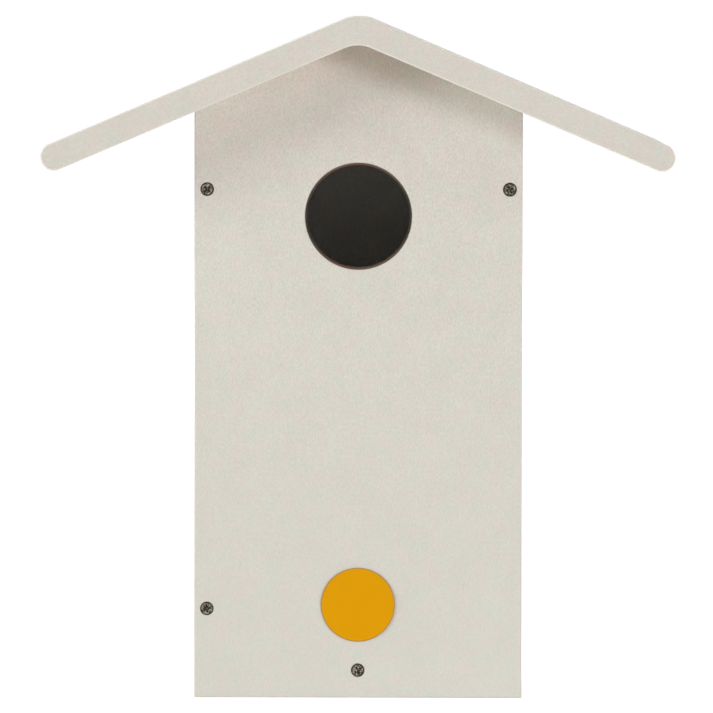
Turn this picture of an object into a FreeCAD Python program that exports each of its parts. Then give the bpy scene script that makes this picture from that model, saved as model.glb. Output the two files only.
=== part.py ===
"""Bluebird nest box cut from recycled plastic sheet, with a chevron roof and a side door that swings on two screws.

Millimetres, +Z up. The entrance faces -Y. The origin is at the centre of the overall box, on the plane the box stands on.
The front and back panels carry everything: the side panels and the floor sit between them, and the roof lies on
their gables. The right side is the door. It hangs on one screw through the front and one through the back, and a
lock screw through its foot holds it to the floor's edge.
"""

import FreeCAD, Part
import math
import os
import re
import Sketcher
from FreeCAD import Placement, Rotation, Vector

doc = FreeCAD.newDocument("nest_box")

# Driving dimensions
SIZES = [
    ("front_width", 121.6, "front and back panels, side to side: 4 inches inside"),
    ("panel_thickness", 10.0, "sheet of the front, the back and both sides"),
    ("side_depth", 101.6, "side panels, front to back: 4 inches inside"),
    ("gable_peak", 243.4, "height where the gable's two slopes would meet"),
    ("roof_pitch", 23.1, "slope of each half of the roof, in degrees"),
    ("roof_thickness", 10.0, "sheet of the roof"),
    ("roof_width", 232.3, "roof, over its rounded eaves"),
    ("front_overhang", 38.1, "roof past the front panel"),
    ("ridge_outer_radius", 13.4, "ridge, outside"),
    ("ridge_inner_radius", 12.2, "ridge, inside, and the gables' peaks"),
    ("roof_bevel", 0.5, "bevel round both ends of the roof"),
    ("edge_round", 0.5, "round on the outer edges of the front and the back"),
    ("vent_gap", 10.0, "air gap between a side panel and the roof"),
    ("entrance_diameter", 38.1, "entrance hole"),
    ("entrance_drop", 64.5, "centre of the entrance hole, below the gable's peak"),
    ("entrance_bevel", 1.0, "bevel round the mouth of the entrance hole"),
    ("kerf_width", 3.2, "one saw kerf of the fledglings' ladder"),
    ("kerf_depth", 1.6, "how deep a kerf goes"),
    ("kerf_length", 76.2, "kerfs, side to side"),
    ("kerf_pitch", 12.7, "from kerf to kerf"),
    ("kerf_count", 6, "kerfs"),
    ("kerf_drop", 32.0, "top kerf, below the centre of the entrance hole"),
    ("floor_thickness", 10.0, "sheet of the floor"),
    ("floor_recess", 5.2, "underside of the floor, above the foot of the walls"),
    ("drain_diameter", 6.35, "drain holes"),
    ("drain_inset", 16.0, "drain holes, in from the floor's edges"),
    ("door_side_gap", 0.8, "door to front panel, and door to back panel"),
    ("door_foot_gap", 1.6, "foot of the door, above the foot of the walls"),
    ("door_floor_gap", 0.4, "closed door to the floor's edge"),
    ("pivot_drop", 18.6, "axis of the door, and the fixed side's upper screws, below the side panels' tops"),
    ("lower_screw_height", 33.1, "the fixed side's lower screws"),
    ("side_screw_inset", 4.7, "screws into a side panel's edge, from its outer face"),
    ("mount_hole_diameter", 6.35, "holes in the back for the post's screws"),
    ("mount_hole_drop", 36.0, "upper mounting hole, below the gable's peak"),
    ("mount_hole_height", 55.0, "lower mounting hole: 6 inches below the upper one"),
    ("disc_diameter", 27.5, "plain disc on the front"),
    ("disc_thickness", 0.6, "plain disc"),
    ("disc_height", 34.6, "centre of the plain disc"),
    ("screw_length", 25.4, "screws, overall"),
    ("lock_screw_length", 16.0, "lock screw of the door, overall"),
    ("head_diameter", 5.1, "screw heads"),
    ("head_angle", 41.0, "slope of a screw head, from its axis, in degrees"),
    ("head_sink", 0.15, "top of a screw head, below the sheet's face"),
    ("shank_diameter", 2.84, "smooth shank of a pivot screw, and the outside of a thread"),
    ("core_diameter", 2.1, "root of the thread"),
    ("point_length", 2.2, "cone at a screw's tip"),
    ("point_room", 0.6, "pilot hole, past a screw's tip"),
    ("shank_room", 0.1, "clearance hole round a fixed screw, each side"),
    ("pivot_room", 0.08, "running clearance round a pivot screw, each side"),
    ("recess_span", 2.8, "cross recess, tip to tip"),
    ("recess_slot", 0.7, "width of an arm of the cross recess"),
    ("recess_depth", 1.0, "cross recess"),
    ("roof_screw_reach", 32.0, "roof screws, from the ridge, side to side"),
]

sheet = doc.addObject("Spreadsheet::Sheet", "Sizes")
for row, (alias, number, meaning) in enumerate(SIZES, start=1):
    sheet.set(f"A{row}", alias)
    sheet.set(f"B{row}", str(number))
    sheet.set(f"C{row}", meaning)
    sheet.setAlias(f"B{row}", alias)
doc.recompute()

# Places that follow from the driving dimensions. Each is a formula over the sheet's cells.
BODY_DEPTH = "(side_depth + 2 * panel_thickness)"
ROOF_DEPTH = f"(front_overhang + {BODY_DEPTH})"
FRONT_FACE = f"(front_overhang - {ROOF_DEPTH} / 2)"
FRONT_INSIDE = f"({FRONT_FACE} + panel_thickness)"
BACK_INSIDE = f"({FRONT_INSIDE} + side_depth)"
SIDE_SCREW = "(front_width / 2 - side_screw_inset)"
INSIDE_HALF = "(front_width / 2 - panel_thickness)"
FLOOR_MIDDLE = "(floor_recess + floor_thickness / 2)"
SIDE_TOP = "(gable_peak - front_width / 2 * tan(roof_pitch) - vent_gap)"
PIVOT_HEIGHT = f"({SIDE_TOP} - pivot_drop)"
ENTRANCE_HEIGHT = "(gable_peak - entrance_drop)"
ROOF_PEAK = "(gable_peak + roof_thickness / cos(roof_pitch))"
ROOF_MIDLINE = "(gable_peak + roof_thickness / cos(roof_pitch) / 2)"
EAVE_CENTRE = "(roof_width / 2 - roof_thickness / 2)"


def formula(text):
    """The text with each size's name turned into a reference to its cell."""
    return re.sub(r"\b([a-z]+(?:_[a-z]+)+)\b", r"Sizes.\1", text)


def size(text):
    """What a formula comes to, as a number."""
    return float(sheet.evalExpression(formula(str(text))))


def bind(thing, place, text):
    thing.setExpression(place, formula(str(text)))


def new_body(label, x="0", y="0", z="0"):
    """An empty body whose own origin lies at x, y, z of the nest box."""
    body = doc.addObject("PartDesign::Body", label)
    body.Label = label
    for axis, text in zip("xyz", (x, y, z)):
        bind(body, f".Placement.Base.{axis}", text)
    return body


def new_sketch(body, name, plane, offset=("0", "0", "0"), turn="0"):
    """A sketch on one of the body's own planes, moved by offset and turned in its plane."""
    sketch = body.newObject("Sketcher::SketchObject", name)
    origin_plane = [f for f in body.Origin.OriginFeatures if f.Role == f"{plane}_Plane"][0]
    sketch.AttachmentSupport = [(origin_plane, "")]
    sketch.MapMode = "FlatFace"
    sketch.AttachmentOffset = Placement(Vector(0, 0, 0), Rotation(Vector(0, 0, 1), size(turn)))
    for axis, text in zip("xyz", offset):
        bind(sketch, f".AttachmentOffset.Base.{axis}", text)
    bind(sketch, ".AttachmentOffset.Rotation.Angle", turn)
    return sketch


def fix(sketch, kind, name, text, *points):
    """A named constraint that follows a formula."""
    index = sketch.addConstraint(Sketcher.Constraint(kind, *points, size(text)))
    sketch.renameConstraint(index, name)
    bind(sketch, f"Constraints.{name}", text)


def draw_outline(sketch, corners, arcs=None):
    """A closed outline through the corners, anticlockwise.

    arcs gives, for the run after a corner, its bend (1 anticlockwise, -1 clockwise), and what fixes it:
    its radius, or the place of its centre along the sketch's first axis.
    """
    arcs = arcs or {}
    places = [Vector(size(u), size(v), 0) for u, v in corners]
    ends = []
    for i, start in enumerate(places):
        finish = places[(i + 1) % len(places)]
        if i not in arcs:
            ends.append((sketch.addGeometry(Part.LineSegment(start, finish), False), 1, 2))
            continue
        bend, fixed_by, text = arcs[i]
        chord = finish - start
        half = chord.Length / 2
        radius = size(text) if fixed_by == "radius" else half
        rise = math.sqrt(max(radius**2 - half**2, 0.0)) * bend
        centre = (start + finish) / 2 + Vector(-chord.y, chord.x, 0) / chord.Length * rise
        first, last = (start, finish) if bend > 0 else (finish, start)
        angles = [math.atan2(p.y - centre.y, p.x - centre.x) for p in (first, last)]
        if angles[1] < angles[0]:
            angles[1] += 2 * math.pi
        circle = Part.Circle(centre, Vector(0, 0, 1), radius)
        arc = sketch.addGeometry(Part.ArcOfCircle(circle, *angles), False)
        ends.append((arc, 1, 2) if bend > 0 else (arc, 2, 1))
    for i, (u, v) in enumerate(corners):
        edge, start_point, _ = ends[i]
        before, _, end_point = ends[i - 1]
        sketch.addConstraint(Sketcher.Constraint("Coincident", before, end_point, edge, start_point))
        fix(sketch, "DistanceX", f"across{i}", u, -1, 1, edge, start_point)
        fix(sketch, "DistanceY", f"up{i}", v, -1, 1, edge, start_point)
    for i, (_, fixed_by, text) in arcs.items():
        if fixed_by == "radius":
            fix(sketch, "Radius", f"radius{i}", text, ends[i][0])
        else:
            fix(sketch, "DistanceX", f"centre{i}", text, -1, 1, ends[i][0], 3)


def draw_circle(sketch, name, u, v, diameter):
    circle = Part.Circle(Vector(size(u), size(v), 0), Vector(0, 0, 1), size(diameter) / 2)
    index = sketch.addGeometry(circle, False)
    fix(sketch, "DistanceX", f"{name}_across", u, -1, 1, index, 3)
    fix(sketch, "DistanceY", f"{name}_up", v, -1, 1, index, 3)
    fix(sketch, "Diameter", f"{name}_diameter", diameter, index)


def settle(body, feature, adds):
    """Makes the feature the body's last one, and checks that it did something."""
    before = body.Shape.Volume if body.Shape and not body.Shape.isNull() else 0.0
    body.Tip = feature
    doc.recompute()
    change = body.Shape.Volume - before
    if (change if adds else -change) <= 0:
        raise RuntimeError(f"{feature.Name} of {body.Label} changes nothing")
    return feature


def pad(body, name, sketch, length, backwards=False):
    feature = body.newObject("PartDesign::Pad", name)
    feature.Profile = sketch
    feature.Reversed = backwards
    bind(feature, "Length", length)
    sketch.Visibility = False
    return settle(body, feature, adds=True)


def pocket(body, name, sketch, depth, backwards=False):
    feature = body.newObject("PartDesign::Pocket", name)
    feature.Profile = sketch
    feature.Reversed = backwards
    bind(feature, "Length", depth)
    return settle(body, feature, adds=False)


def drill(body, name, plane, offset, turn, profile):
    """A round hole. Its sketch's second axis points out of the mouth, and profile gives (radius, depth) down it."""
    sketch = new_sketch(body, f"{name}_profile", plane, offset, turn)
    wall = [(radius, f"-({depth})") for radius, depth in profile]
    draw_outline(sketch, [("0", "0")] + [("0", wall[-1][1])] + wall[::-1])
    feature = body.newObject("PartDesign::Groove", name)
    feature.Profile = sketch
    feature.ReferenceAxis = (sketch, ["V_Axis"])
    feature.Angle = 360.0
    return settle(body, feature, adds=False)


def countersunk(through, room, seat_room="0"):
    """Profile of a clearance hole whose mouth seats a screw head, through a sheet of that thickness."""
    mouth = f"head_diameter / 2 + {seat_room} + head_sink * tan(head_angle)"
    bore = f"shank_diameter / 2 + {room}"
    neck = f"(({mouth}) - ({bore})) / tan(head_angle)"
    return [(mouth, "0"), (bore, neck), (bore, through)]


def pilot(length, outer_sheet):
    """Profile of a pilot hole for the threaded part of a screw that comes through an outer sheet."""
    deep = f"{length} + head_sink + point_room - {outer_sheet}"
    return [("core_diameter / 2", "0"), ("core_diameter / 2", deep)]


def edges_where(shape, test):
    """Names of the edges whose ends and middle all pass the test."""
    names = []
    for number, edge in enumerate(shape.Edges, start=1):
        first, last = edge.ParameterRange
        if all(test(edge.valueAt(first + (last - first) * share)) for share in (0.0, 0.5, 1.0)):
            names.append(f"Edge{number}")
    return names


def round_edges(body, name, radius, test):
    """Rounds the edges that pass the test, which is in the body's own frame."""
    base = body.Tip
    feature = body.newObject("PartDesign::Fillet", name)
    feature.Base = (base, edges_where(base.Shape, test))
    bind(feature, "Radius", radius)
    return settle(body, feature, adds=False)


def bevel_edges(body, name, width, test):
    """Bevels the edges that pass the test, which is in the body's own frame."""
    base = body.Tip
    feature = body.newObject("PartDesign::Chamfer", name)
    feature.Base = (base, edges_where(base.Shape, test))
    bind(feature, "Size", width)
    return settle(body, feature, adds=False)


def mirror(body, name, originals):
    """Repeats features on the other side of the body's middle plane."""
    feature = body.newObject("PartDesign::Mirrored", name)
    feature.Originals = originals
    middle = [f for f in body.Origin.OriginFeatures if f.Role == "YZ_Plane"][0]
    feature.MirrorPlane = (middle, [""])
    return settle(body, feature, adds=False)


def near(a, b):
    return abs(a - b) < 0.001


# Front and back panels: a rectangle with a gable that fits under the roof. The peak is rounded like the roof's
# inside, so the gable seats along its whole length.
PEAK_RUN = "(ridge_inner_radius * sin(roof_pitch))"


def gable_panel(label, base_y):
    """A gabled sheet from its base plane at y 0 to its other face at the sheet's thickness."""
    body = new_body(label, y=base_y)
    outline = new_sketch(body, f"{label}_outline", "XZ")
    shoulder = "gable_peak - front_width / 2 * tan(roof_pitch)"
    peak_foot = f"gable_peak - {PEAK_RUN} * tan(roof_pitch)"
    corners = [
        ("-front_width / 2", "0"),
        ("front_width / 2", "0"),
        ("front_width / 2", shoulder),
        (PEAK_RUN, peak_foot),
        (f"-{PEAK_RUN}", peak_foot),
        ("-front_width / 2", shoulder),
    ]
    draw_outline(outline, corners, {3: (1, "radius", "ridge_inner_radius")})
    pad(body, f"{label}_sheet", outline, "panel_thickness", backwards=True)
    return body


def round_outer_edges(body, outer_y):
    """Rounds the arrises down both sides of the panel's outer face and along its foot."""
    half = size("front_width") / 2
    face = size(outer_y)
    round_edges(
        body,
        f"{body.Label}_edges",
        "edge_round",
        lambda p: near(p.y, face) and (near(abs(p.x), half) or near(p.z, 0)),
    )


def screw_holes_in_gable(body, outer_y, turn):
    """Countersunk holes for the fixed side, the floor and the door's pivot, and pilot holes for the roof screws."""
    fixed = {
        "upper_left": (f"-{SIDE_SCREW}", PIVOT_HEIGHT),
        "lower_left": (f"-{SIDE_SCREW}", "lower_screw_height"),
        "floor": ("0", FLOOR_MIDDLE),
    }
    for name, (x, z) in fixed.items():
        profile = countersunk("panel_thickness", "shank_room")
        drill(body, f"{body.Label}_{name}_hole", "XY", (x, outer_y, z), turn, profile)
    profile = countersunk("panel_thickness", "pivot_room", "pivot_room")
    drill(body, f"{body.Label}_pivot_hole", "XY", (SIDE_SCREW, outer_y, PIVOT_HEIGHT), turn, profile)
    x = "roof_screw_reach - roof_thickness * sin(roof_pitch)"
    z = f"{ROOF_PEAK} - roof_screw_reach * tan(roof_pitch) - roof_thickness * cos(roof_pitch)"
    place = (x, z, "-panel_thickness / 2")
    name = f"{body.Label}_roof_screw_hole"
    hole = drill(body, name, "XZ", place, "-roof_pitch", pilot("screw_length", "roof_thickness"))
    mirror(body, f"{name}s", [hole])


def build_front_panel():
    """The front: entrance hole, screw holes, and saw kerfs inside that give fledglings a foothold."""
    body = gable_panel("front_panel", FRONT_FACE)
    entrance = new_sketch(body, "entrance", "XZ")
    draw_circle(entrance, "hole", "0", ENTRANCE_HEIGHT, "entrance_diameter")
    pocket(body, "entrance_hole", entrance, "panel_thickness")
    low = "-kerf_length / 2"
    top = f"{ENTRANCE_HEIGHT} - kerf_drop"
    kerf = new_sketch(body, "kerf", "XZ", ("0", "0", "-panel_thickness"))
    far = "kerf_length / 2"
    under = f"{top} - kerf_width"
    draw_outline(kerf, [(low, under), (far, under), (far, top), (low, top)])
    cut = pocket(body, "top_kerf", kerf, "kerf_depth", backwards=True)
    ladder = body.newObject("PartDesign::LinearPattern", "ladder")
    ladder.Originals = [cut]
    ladder.Direction = (kerf, ["V_Axis"])
    ladder.Reversed = True
    bind(ladder, "Occurrences", "kerf_count")
    bind(ladder, "Length", "kerf_pitch * (kerf_count - 1)")
    settle(body, ladder, adds=False)
    hole_radius = size("entrance_diameter") / 2
    hole_middle = size(ENTRANCE_HEIGHT)
    bevel_edges(
        body,
        "entrance_edge",
        "entrance_bevel",
        lambda p: near(p.y, 0) and near(math.hypot(p.x, p.z - hole_middle), hole_radius),
    )
    round_outer_edges(body, "0")
    screw_holes_in_gable(body, "0", "180")


def build_back_panel():
    """The back: the same gable, with two holes on its centre line for the screws into a post or wall."""
    body = gable_panel("back_panel", BACK_INSIDE)
    mounting = new_sketch(body, "mounting", "XZ")
    draw_circle(mounting, "high", "0", "gable_peak - mount_hole_drop", "mount_hole_diameter")
    draw_circle(mounting, "low", "0", "mount_hole_height", "mount_hole_diameter")
    pocket(body, "mounting_holes", mounting, "panel_thickness")
    round_outer_edges(body, "panel_thickness")
    screw_holes_in_gable(body, "panel_thickness", "0")


def upright_sheet(label, x, inset, foot):
    """A side panel's sheet, shorter front to back by inset at each end. Its own y 0 is its front edge."""
    body = new_body(label, x=x, y=f"{FRONT_INSIDE} + {inset}")
    outline = new_sketch(body, f"{label}_outline", "YZ")
    run = f"side_depth - 2 * {inset}"
    draw_outline(outline, [("0", foot), (run, foot), (run, SIDE_TOP), ("0", SIDE_TOP)])
    pad(body, f"{label}_sheet", outline, "panel_thickness")
    return body, run


def pilot_holes_in_side(body, name, x, height, run, outer_sheet):
    """Pilot holes into the front and back edges, at one height."""
    profile = pilot("screw_length", outer_sheet)
    drill(body, f"{name}_front", "XY", (x, "0", height), "180", profile)
    drill(body, f"{name}_back", "XY", (x, run, height), "0", profile)


def build_left_side():
    """The fixed side. It is screwed through the front and the back, and holds one edge of the floor."""
    body, run = upright_sheet("left_side", "-front_width / 2", "0", "0")
    for name, height in (("upper", PIVOT_HEIGHT), ("lower", "lower_screw_height")):
        pilot_holes_in_side(body, f"side_pilot_{name}", "side_screw_inset", height, run, "panel_thickness")
    profile = countersunk("panel_thickness", "shank_room")
    drill(body, "side_floor_hole", "XY", ("0", "side_depth / 2", FLOOR_MIDDLE), "90", profile)


def build_side_door():
    """The door. It swings out from its foot, about the two screws near its top."""
    body, run = upright_sheet("side_door", INSIDE_HALF, "door_side_gap", "door_foot_gap")
    outer_sheet = "(panel_thickness + door_side_gap)"
    pivot = "panel_thickness - side_screw_inset"
    pilot_holes_in_side(body, "door_pivot", pivot, PIVOT_HEIGHT, run, outer_sheet)
    place = ("panel_thickness", "side_depth / 2 - door_side_gap", FLOOR_MIDDLE)
    drill(body, "door_lock_hole", "XY", place, "-90", countersunk("panel_thickness", "shank_room"))


def build_floor():
    """The floor, let in above the foot of the walls, with a drain hole near each corner.

    The lock screw's hole is as wide as the thread outside, which it cuts each time it is driven.
    """
    body = new_body("floor", x=f"-{INSIDE_HALF}", y=FRONT_INSIDE, z="floor_recess")
    across = f"2 * {INSIDE_HALF} - door_floor_gap"
    outline = new_sketch(body, "floor_outline", "XY")
    draw_outline(outline, [("0", "0"), (across, "0"), (across, "side_depth"), ("0", "side_depth")])
    pad(body, "floor_sheet", outline, "floor_thickness")
    drains = new_sketch(body, "drains", "XY")
    ends_across = ("drain_inset", f"{across} - drain_inset")
    ends_along = ("drain_inset", "side_depth - drain_inset")
    for number, (u, v) in enumerate((u, v) for u in ends_across for v in ends_along):
        draw_circle(drains, f"drain{number}", u, v, "drain_diameter")
    pocket(body, "drain_holes", drains, "floor_thickness", backwards=True)
    middle = "floor_thickness / 2"
    profile = pilot("screw_length", "panel_thickness")
    drill(body, "floor_pilot_front", "XY", (INSIDE_HALF, "0", middle), "180", profile)
    drill(body, "floor_pilot_back", "XY", (INSIDE_HALF, "side_depth", middle), "0", profile)
    drill(body, "floor_pilot_left", "XY", ("0", "side_depth / 2", middle), "90", profile)
    deep = "lock_screw_length + head_sink + point_room - panel_thickness - door_floor_gap"
    lock = [("shank_diameter / 2", "0"), ("shank_diameter / 2", deep)]
    drill(body, "floor_lock_hole", "XY", (across, "side_depth / 2", middle), "-90", lock)


def build_roof():
    """The roof: one chevron of sheet, rounded at the ridge and fully rounded along both eaves."""
    body = new_body("roof", y=f"-{ROOF_DEPTH} / 2")
    outline = new_sketch(body, "roof_outline", "XZ")
    half_lean = "roof_thickness / 2 * sin(roof_pitch)"
    half_rise = "roof_thickness / 2 * cos(roof_pitch)"
    eave_height = f"{ROOF_MIDLINE} - {EAVE_CENTRE} * tan(roof_pitch)"
    outer_run = "ridge_outer_radius * sin(roof_pitch)"
    inner_foot = f"gable_peak - {PEAK_RUN} * tan(roof_pitch)"
    outer_foot = f"{ROOF_PEAK} - {outer_run} * tan(roof_pitch)"
    corners = [
        (f"-({EAVE_CENTRE} - {half_lean})", f"{eave_height} - {half_rise}"),
        (f"-{PEAK_RUN}", inner_foot),
        (PEAK_RUN, inner_foot),
        (f"{EAVE_CENTRE} - {half_lean}", f"{eave_height} - {half_rise}"),
        (f"{EAVE_CENTRE} + {half_lean}", f"{eave_height} + {half_rise}"),
        (outer_run, outer_foot),
        (f"-{outer_run}", outer_foot),
        (f"-({EAVE_CENTRE} + {half_lean})", f"{eave_height} + {half_rise}"),
    ]
    arcs = {
        1: (-1, "radius", "ridge_inner_radius"),
        3: (1, "centre", EAVE_CENTRE),
        5: (1, "radius", "ridge_outer_radius"),
        7: (1, "centre", f"-{EAVE_CENTRE}"),
    }
    draw_outline(outline, corners, arcs)
    pad(body, "roof_sheet", outline, ROOF_DEPTH, backwards=True)
    depth = size(ROOF_DEPTH)
    bevel_edges(body, "roof_ends", "roof_bevel", lambda p: near(p.y, 0) or near(p.y, depth))
    height = f"{ROOF_PEAK} - roof_screw_reach * tan(roof_pitch)"
    rows = {
        "front": "front_overhang + panel_thickness / 2",
        "back": f"{ROOF_DEPTH} - panel_thickness / 2",
    }
    holes = []
    for row, y in rows.items():
        place = ("roof_screw_reach", height, f"-({y})")
        profile = countersunk("roof_thickness", "shank_room")
        holes.append(drill(body, f"roof_{row}_hole", "XZ", place, "-roof_pitch", profile))
    mirror(body, "roof_holes", holes)


def build_disc():
    """The plain round disc stuck on the front."""
    body = new_body("label_disc", y=f"{FRONT_FACE} - disc_thickness", z="disc_height")
    face = new_sketch(body, "disc_face", "XZ")
    draw_circle(face, "disc", "0", "0", "disc_diameter")
    pad(body, "disc_sheet", face, "disc_thickness", backwards=True)


# Screws: countersunk, with a cross recess. A thread is drawn as its root. Only the pivot screws have a smooth shank,
# as long as the sheet that they turn in.
def build_screw(label, place, tilt, spin, length="screw_length", smooth=None):
    """A screw driven into the face at place. tilt is the axis and the angle that turn it from upright."""
    body = new_body(label, *place)
    axis, angle = tilt
    body.Placement = Placement(body.Placement.Base, Rotation(axis, size(angle)))
    bind(body, ".Placement.Rotation.Angle", angle)
    profile = new_sketch(body, f"{label}_profile", "XZ", ("0", "-head_sink", "0"))
    neck = "shank_diameter" if smooth else "core_diameter"
    shoulder = []
    if smooth:
        end = f"-({smooth} - head_sink)"
        shoulder = [("core_diameter / 2", end), ("shank_diameter / 2", end)]
    corners = [
        ("0", "0"),
        ("0", f"-{length}"),
        ("core_diameter / 2", f"-({length} - point_length)"),
        *shoulder,
        (f"{neck} / 2", f"-(head_diameter - {neck}) / 2 / tan(head_angle)"),
        ("head_diameter / 2", "0"),
    ]
    draw_outline(profile, corners)
    turned = body.newObject("PartDesign::Revolution", f"{label}_turned")
    turned.Profile = profile
    turned.ReferenceAxis = (profile, ["V_Axis"])
    turned.Angle = 360.0
    settle(body, turned, adds=True)
    cross = new_sketch(body, f"{label}_cross", "XY", ("0", "0", "-head_sink"), spin)
    arm = [("recess_span / 2", "-recess_slot / 2"), ("recess_span / 2", "recess_slot / 2")]
    arm.append(("recess_slot / 2", "recess_slot / 2"))
    outline = list(arm)
    for _ in range(3):
        arm = [(f"-({v})", u) for u, v in arm]
        outline += arm
    draw_outline(cross, outline)
    pocket(body, f"{label}_recess", cross, "recess_depth")


def build_screws():
    """All the screws: through the front and the back, into the floor from either side, and through the roof."""
    to_front = (Vector(1, 0, 0), "90")
    to_back = (Vector(1, 0, 0), "-90")
    to_left = (Vector(0, 1, 0), "-90")
    to_right = (Vector(0, 1, 0), "90")
    pivot_sheet = "(panel_thickness + door_side_gap)"
    rows = [
        ("screw_upper_left", f"-{SIDE_SCREW}", PIVOT_HEIGHT, None, ("45", "12")),
        ("screw_lower_left", f"-{SIDE_SCREW}", "lower_screw_height", None, ("8", "70")),
        ("screw_floor", "0", FLOOR_MIDDLE, None, ("32", "50")),
        ("pivot_screw", SIDE_SCREW, PIVOT_HEIGHT, pivot_sheet, ("24", "3")),
    ]
    back_face = f"{BACK_INSIDE} + panel_thickness"
    for name, x, z, smooth, (front_spin, back_spin) in rows:
        build_screw(f"front_{name}", (x, FRONT_FACE, z), to_front, front_spin, smooth=smooth)
        build_screw(f"back_{name}", (x, back_face, z), to_back, back_spin, smooth=smooth)
    side_centre = f"{FRONT_INSIDE} + side_depth / 2"
    build_screw("left_floor_screw", ("-front_width / 2", side_centre, FLOOR_MIDDLE), to_left, "20")
    build_screw("door_lock_screw", ("front_width / 2", side_centre, FLOOR_MIDDLE), to_right, "38", "lock_screw_length")
    height = f"{ROOF_PEAK} - roof_screw_reach * tan(roof_pitch)"
    rows = {"front": f"{FRONT_FACE} + panel_thickness / 2", "back": f"{BACK_INSIDE} + panel_thickness / 2"}
    spins = iter(("15", "60", "33", "80"))
    for row, y in rows.items():
        for side, sign in (("left", -1), ("right", 1)):
            lean = (Vector(0, 1, 0), f"{sign} * roof_pitch")
            place = (f"{sign} * roof_screw_reach", y, height)
            build_screw(f"roof_screw_{row}_{side}", place, lean, next(spins))


build_front_panel()
build_back_panel()
build_left_side()
build_side_door()
build_floor()
build_roof()
build_disc()
build_screws()
doc.recompute()

for thing in doc.Objects:
    if "Invalid" in thing.State or "Error" in thing.State:
        raise RuntimeError(f"{thing.Label} failed: {thing.State}")
os.makedirs("parts", exist_ok=True)
for thing in doc.Objects:
    if thing.TypeId != "PartDesign::Body":
        continue
    if thing.Shape.isNull() or not thing.Shape.isValid():
        raise RuntimeError(f"{thing.Label} has no valid shape")
    thing.Shape.exportStep(f"parts/{thing.Label}.step")
    print(thing.Label, round(thing.Shape.Volume, 1), len(thing.Shape.Solids))
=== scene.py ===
"""Looks of the bluebird box: recycled sheet, coated screws and an amber disc, on white paper."""

import math

import bmesh
import bpy
from mathutils import Matrix, Vector


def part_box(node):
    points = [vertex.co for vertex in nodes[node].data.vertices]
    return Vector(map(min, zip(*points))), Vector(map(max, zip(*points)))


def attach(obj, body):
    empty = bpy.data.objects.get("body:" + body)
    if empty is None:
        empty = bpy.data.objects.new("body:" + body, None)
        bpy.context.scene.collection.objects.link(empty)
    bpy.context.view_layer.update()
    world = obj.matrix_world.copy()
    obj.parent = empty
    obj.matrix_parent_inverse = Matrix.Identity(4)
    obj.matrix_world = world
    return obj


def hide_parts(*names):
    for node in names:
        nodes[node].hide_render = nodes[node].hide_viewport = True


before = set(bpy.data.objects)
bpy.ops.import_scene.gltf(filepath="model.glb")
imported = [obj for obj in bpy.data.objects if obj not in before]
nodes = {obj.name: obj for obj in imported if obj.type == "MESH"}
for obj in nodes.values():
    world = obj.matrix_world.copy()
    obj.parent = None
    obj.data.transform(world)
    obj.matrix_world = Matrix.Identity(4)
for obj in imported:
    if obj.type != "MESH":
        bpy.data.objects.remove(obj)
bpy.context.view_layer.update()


# Back panel. A gabled sheet of extruded recycled polyethylene, sawn to its outline, with two holes
# on its centre line for the post's screws. Its faces keep the die's fine matt grain, and its cut
# edges show the saw.
SHEET_TINT = "#D9D7CC"
# Painted light: a greener cast of the floor's bounce light near the foot
FLOOR_BOUNCE_TINT = "#D9D8CE"
# Painted shade: darker and warmer below the roof's slopes
EAVES_SHADE_TINT = "#D7D3C9"
# Painted light: a paler warm band just under the roof
ROOFLINE_LIGHT_TINT = "#DDD7CD"
# Painted shade: browner at the ridge
RIDGE_SHADE_TINT = "#DBD3C6"
CUT_TINT = "#D6D2C7"
FILM_TINT = "#EEF1FB"

# Sizes of the patterns in millimetres. The real grain and saw lines are too fine to show, so they
# are drawn as coarse as they need. The grain is finer across the extrusion than along it, and the
# saw lines are drawn out along the saw's stroke.
PER_MM = 1000.0
GRAIN_MM = 1.1
PATCH_MM = 4.0
CLOUD_MM = 14.0
HUE_MM = 6.0
FLECK_MM = 3.4
SAW_MM = 0.8
ACROSS_EXTRUSION = 1.9
ALONG_STROKE = 0.2
NOISE = {"Detail": 2.0, "Roughness": 0.6}

# What each pattern multiplies the sheet's colour by, from the low end of its span to the high one.
# Most values of a noise lie in NOISE_SPAN, and a fleck darkens the sheet near its centre.
NOISE_SPAN = (0.3, 0.7)
GRAIN_SHADES = (0.932, 1.05)
BROAD_SHADES = (0.985, 1.015)
FLECK_SPAN = (0.05, 0.2)
FLECK_SHADES = (0.955, 1.0)
PINK_SHADES = (0.966, 1.037)
GREEN_SHADES = (1.01, 0.982)
SHEET_ROUGHNESS = (0.6, 0.5)

# Where painted light and shade tint a flat piece, in metres: heights, and depths below the
# gable's slope. The contrast of its grain grows with the height.
ROOF_PITCH = math.radians(23.1)
GABLE_PEAK = 0.2423
FLOOR_BOUNCE_HEIGHTS = (0.11, 0.01)
EAVES_SHADE_DEPTHS = (0.055, 0.03)
ROOFLINE_LIGHT_DEPTHS = (0.018, 0.004)
RIDGE_SHADE_HEIGHTS = (0.222, 0.238)
CONTRAST_HEIGHTS = (0.02, 0.22)
GRAIN_CONTRAST = (0.7, 1.6)

# How far the normal leans along the axis of the faces, or of the sawn ends, at their edges
EDGE_LEAN = (0.55, 0.8)


def linear(tint):
    """An sRGB hex colour as linear red, green, blue and an alpha of 1."""
    parts = [int(tint[i : i + 2], 16) / 255 for i in (1, 3, 5)]
    return [c / 12.92 if c <= 0.04045 else ((c + 0.055) / 1.055) ** 2.4 for c in parts] + [1.0]


def feed(tree, socket, value):
    """Links the socket to a node or to one of its outputs, or sets it to a plain value."""
    if isinstance(value, bpy.types.Node):
        value = next(output for output in value.outputs if output.enabled)
    if isinstance(value, bpy.types.NodeSocket):
        tree.links.new(value, socket)
    else:
        socket.default_value = value


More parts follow.
